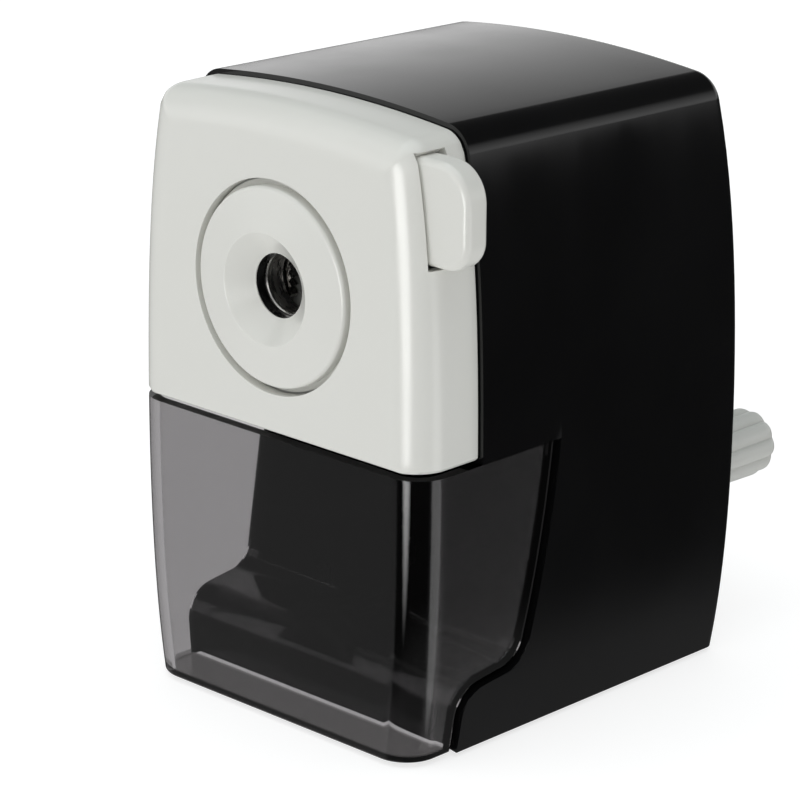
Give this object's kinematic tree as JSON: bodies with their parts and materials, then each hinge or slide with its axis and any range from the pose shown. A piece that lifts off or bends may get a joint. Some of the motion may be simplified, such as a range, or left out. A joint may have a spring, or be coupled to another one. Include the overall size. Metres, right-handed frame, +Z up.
{
  "type": "hand-cranked desk pencil sharpener",
  "caption": "Upright desk pencil sharpener with a rounded case, a white pull-out front with a side release lever, a rear crank and a translucent shavings drawer.",
  "frame": {"origin": "middle of the footprint, on the table", "axes": "+Z up, +Y from the front to the crank at the rear, +X towards the release lever"},
  "size_m": [0.0683, 0.1024, 0.0992],
  "materials": {
    "black_plastic": "glossy moulded, black",
    "white_plastic": "satin gloss moulded, off-white",
    "grey_plastic": "satin moulded, light grey",
    "smoke_plastic": "clear smoke-tinted styrene, polished",
    "frame_plastic": "plain moulded, black",
    "gear_plastic": "natural acetal",
    "steel": "bright drawn steel",
    "cast_zinc": "die cast, grey",
    "foot_rubber": "matt black rubber"
  },
  "bodies": {
    "housing": {"outer_shell": "black_plastic", "base_pan": "black_plastic", "foot_front_left": "foot_rubber", "foot_front_right": "foot_rubber", "foot_rear_left": "foot_rubber", "foot_rear_right": "foot_rubber", "base_screw_front_left": "steel", "base_screw_front_right": "steel", "base_screw_rear_left": "steel", "base_screw_rear_right": "steel", "mechanism_frame": "frame_plastic", "frame_screw_upper_left": "steel", "frame_screw_upper_right": "steel", "frame_screw_lower_left": "steel", "frame_screw_lower_right": "steel", "ring_gear": "gear_plastic", "rear_bush": "gear_plastic", "rod_spring_left": "steel", "rod_spring_right": "steel"},
    "drawer": {"shavings_drawer": "smoke_plastic"},
    "carriage": {"front_plate": "white_plastic", "guide_dial": "white_plastic", "guide_sleeve": "steel", "carriage_back": "grey_plastic", "guide_rod_left": "steel", "guide_rod_right": "steel", "rod_clip_left": "steel", "rod_clip_right": "steel", "back_screw_upper": "steel", "back_screw_side": "steel", "back_screw_lower": "steel", "fixed_jaw": "steel", "lever_spring": "steel"},
    "lever": {"release_lever": "white_plastic", "clamp_jaw": "steel"},
    "crank": {"cutter_carrier": "cast_zinc", "drive_shaft": "steel", "cutter_pin": "steel", "crank_arm": "grey_plastic", "crank_screw": "steel", "knob_pin": "steel"},
    "cutter": {"helical_cutter": "steel", "cutter_pinion": "gear_plastic"},
    "knob": {"crank_knob": "grey_plastic"}
  },
  "joints": [
    {"name": "drawer_slide", "type": "slide", "parent": "housing", "child": "drawer", "axis": [0, -1, 0], "range_m": [0, 0.06]},
    {"name": "carriage_slide", "type": "slide", "parent": "housing", "child": "carriage", "axis": [0, -1, 0], "range_m": [0, 0.034], "stiffness_N_per_m": 60, "springref_m": -0.01, "deforming": ["rod_spring_left", "rod_spring_right"]},
    {"name": "lever_slide", "type": "slide", "parent": "carriage", "child": "lever", "axis": [-1, 0, 0], "range_m": [0, 0.005], "stiffness_N_per_m": 400, "springref_m": -0.004, "deforming": ["lever_spring"]},
    {"name": "crank_turn", "type": "hinge", "parent": "housing", "child": "crank", "pos_m": [-0.00225, 0.0053, 0.0704], "axis": [0, 1, 0], "continuous": true},
    {"name": "cutter_spin", "type": "hinge", "parent": "crank", "child": "cutter", "pos_m": [-0.00225, -0.0319, 0.0809], "axis": [0, 0.9869, -0.1616], "continuous": true},
    {"name": "knob_spin", "type": "hinge", "parent": "crank", "child": "knob", "pos_m": [0.01047, 0.0313, 0.02515], "axis": [0, 1, 0], "continuous": true}
  ],
  "couplings": [
    {"joint": "cutter_spin", "follows": "crank_turn", "ratio": -3.6667}
  ]
}
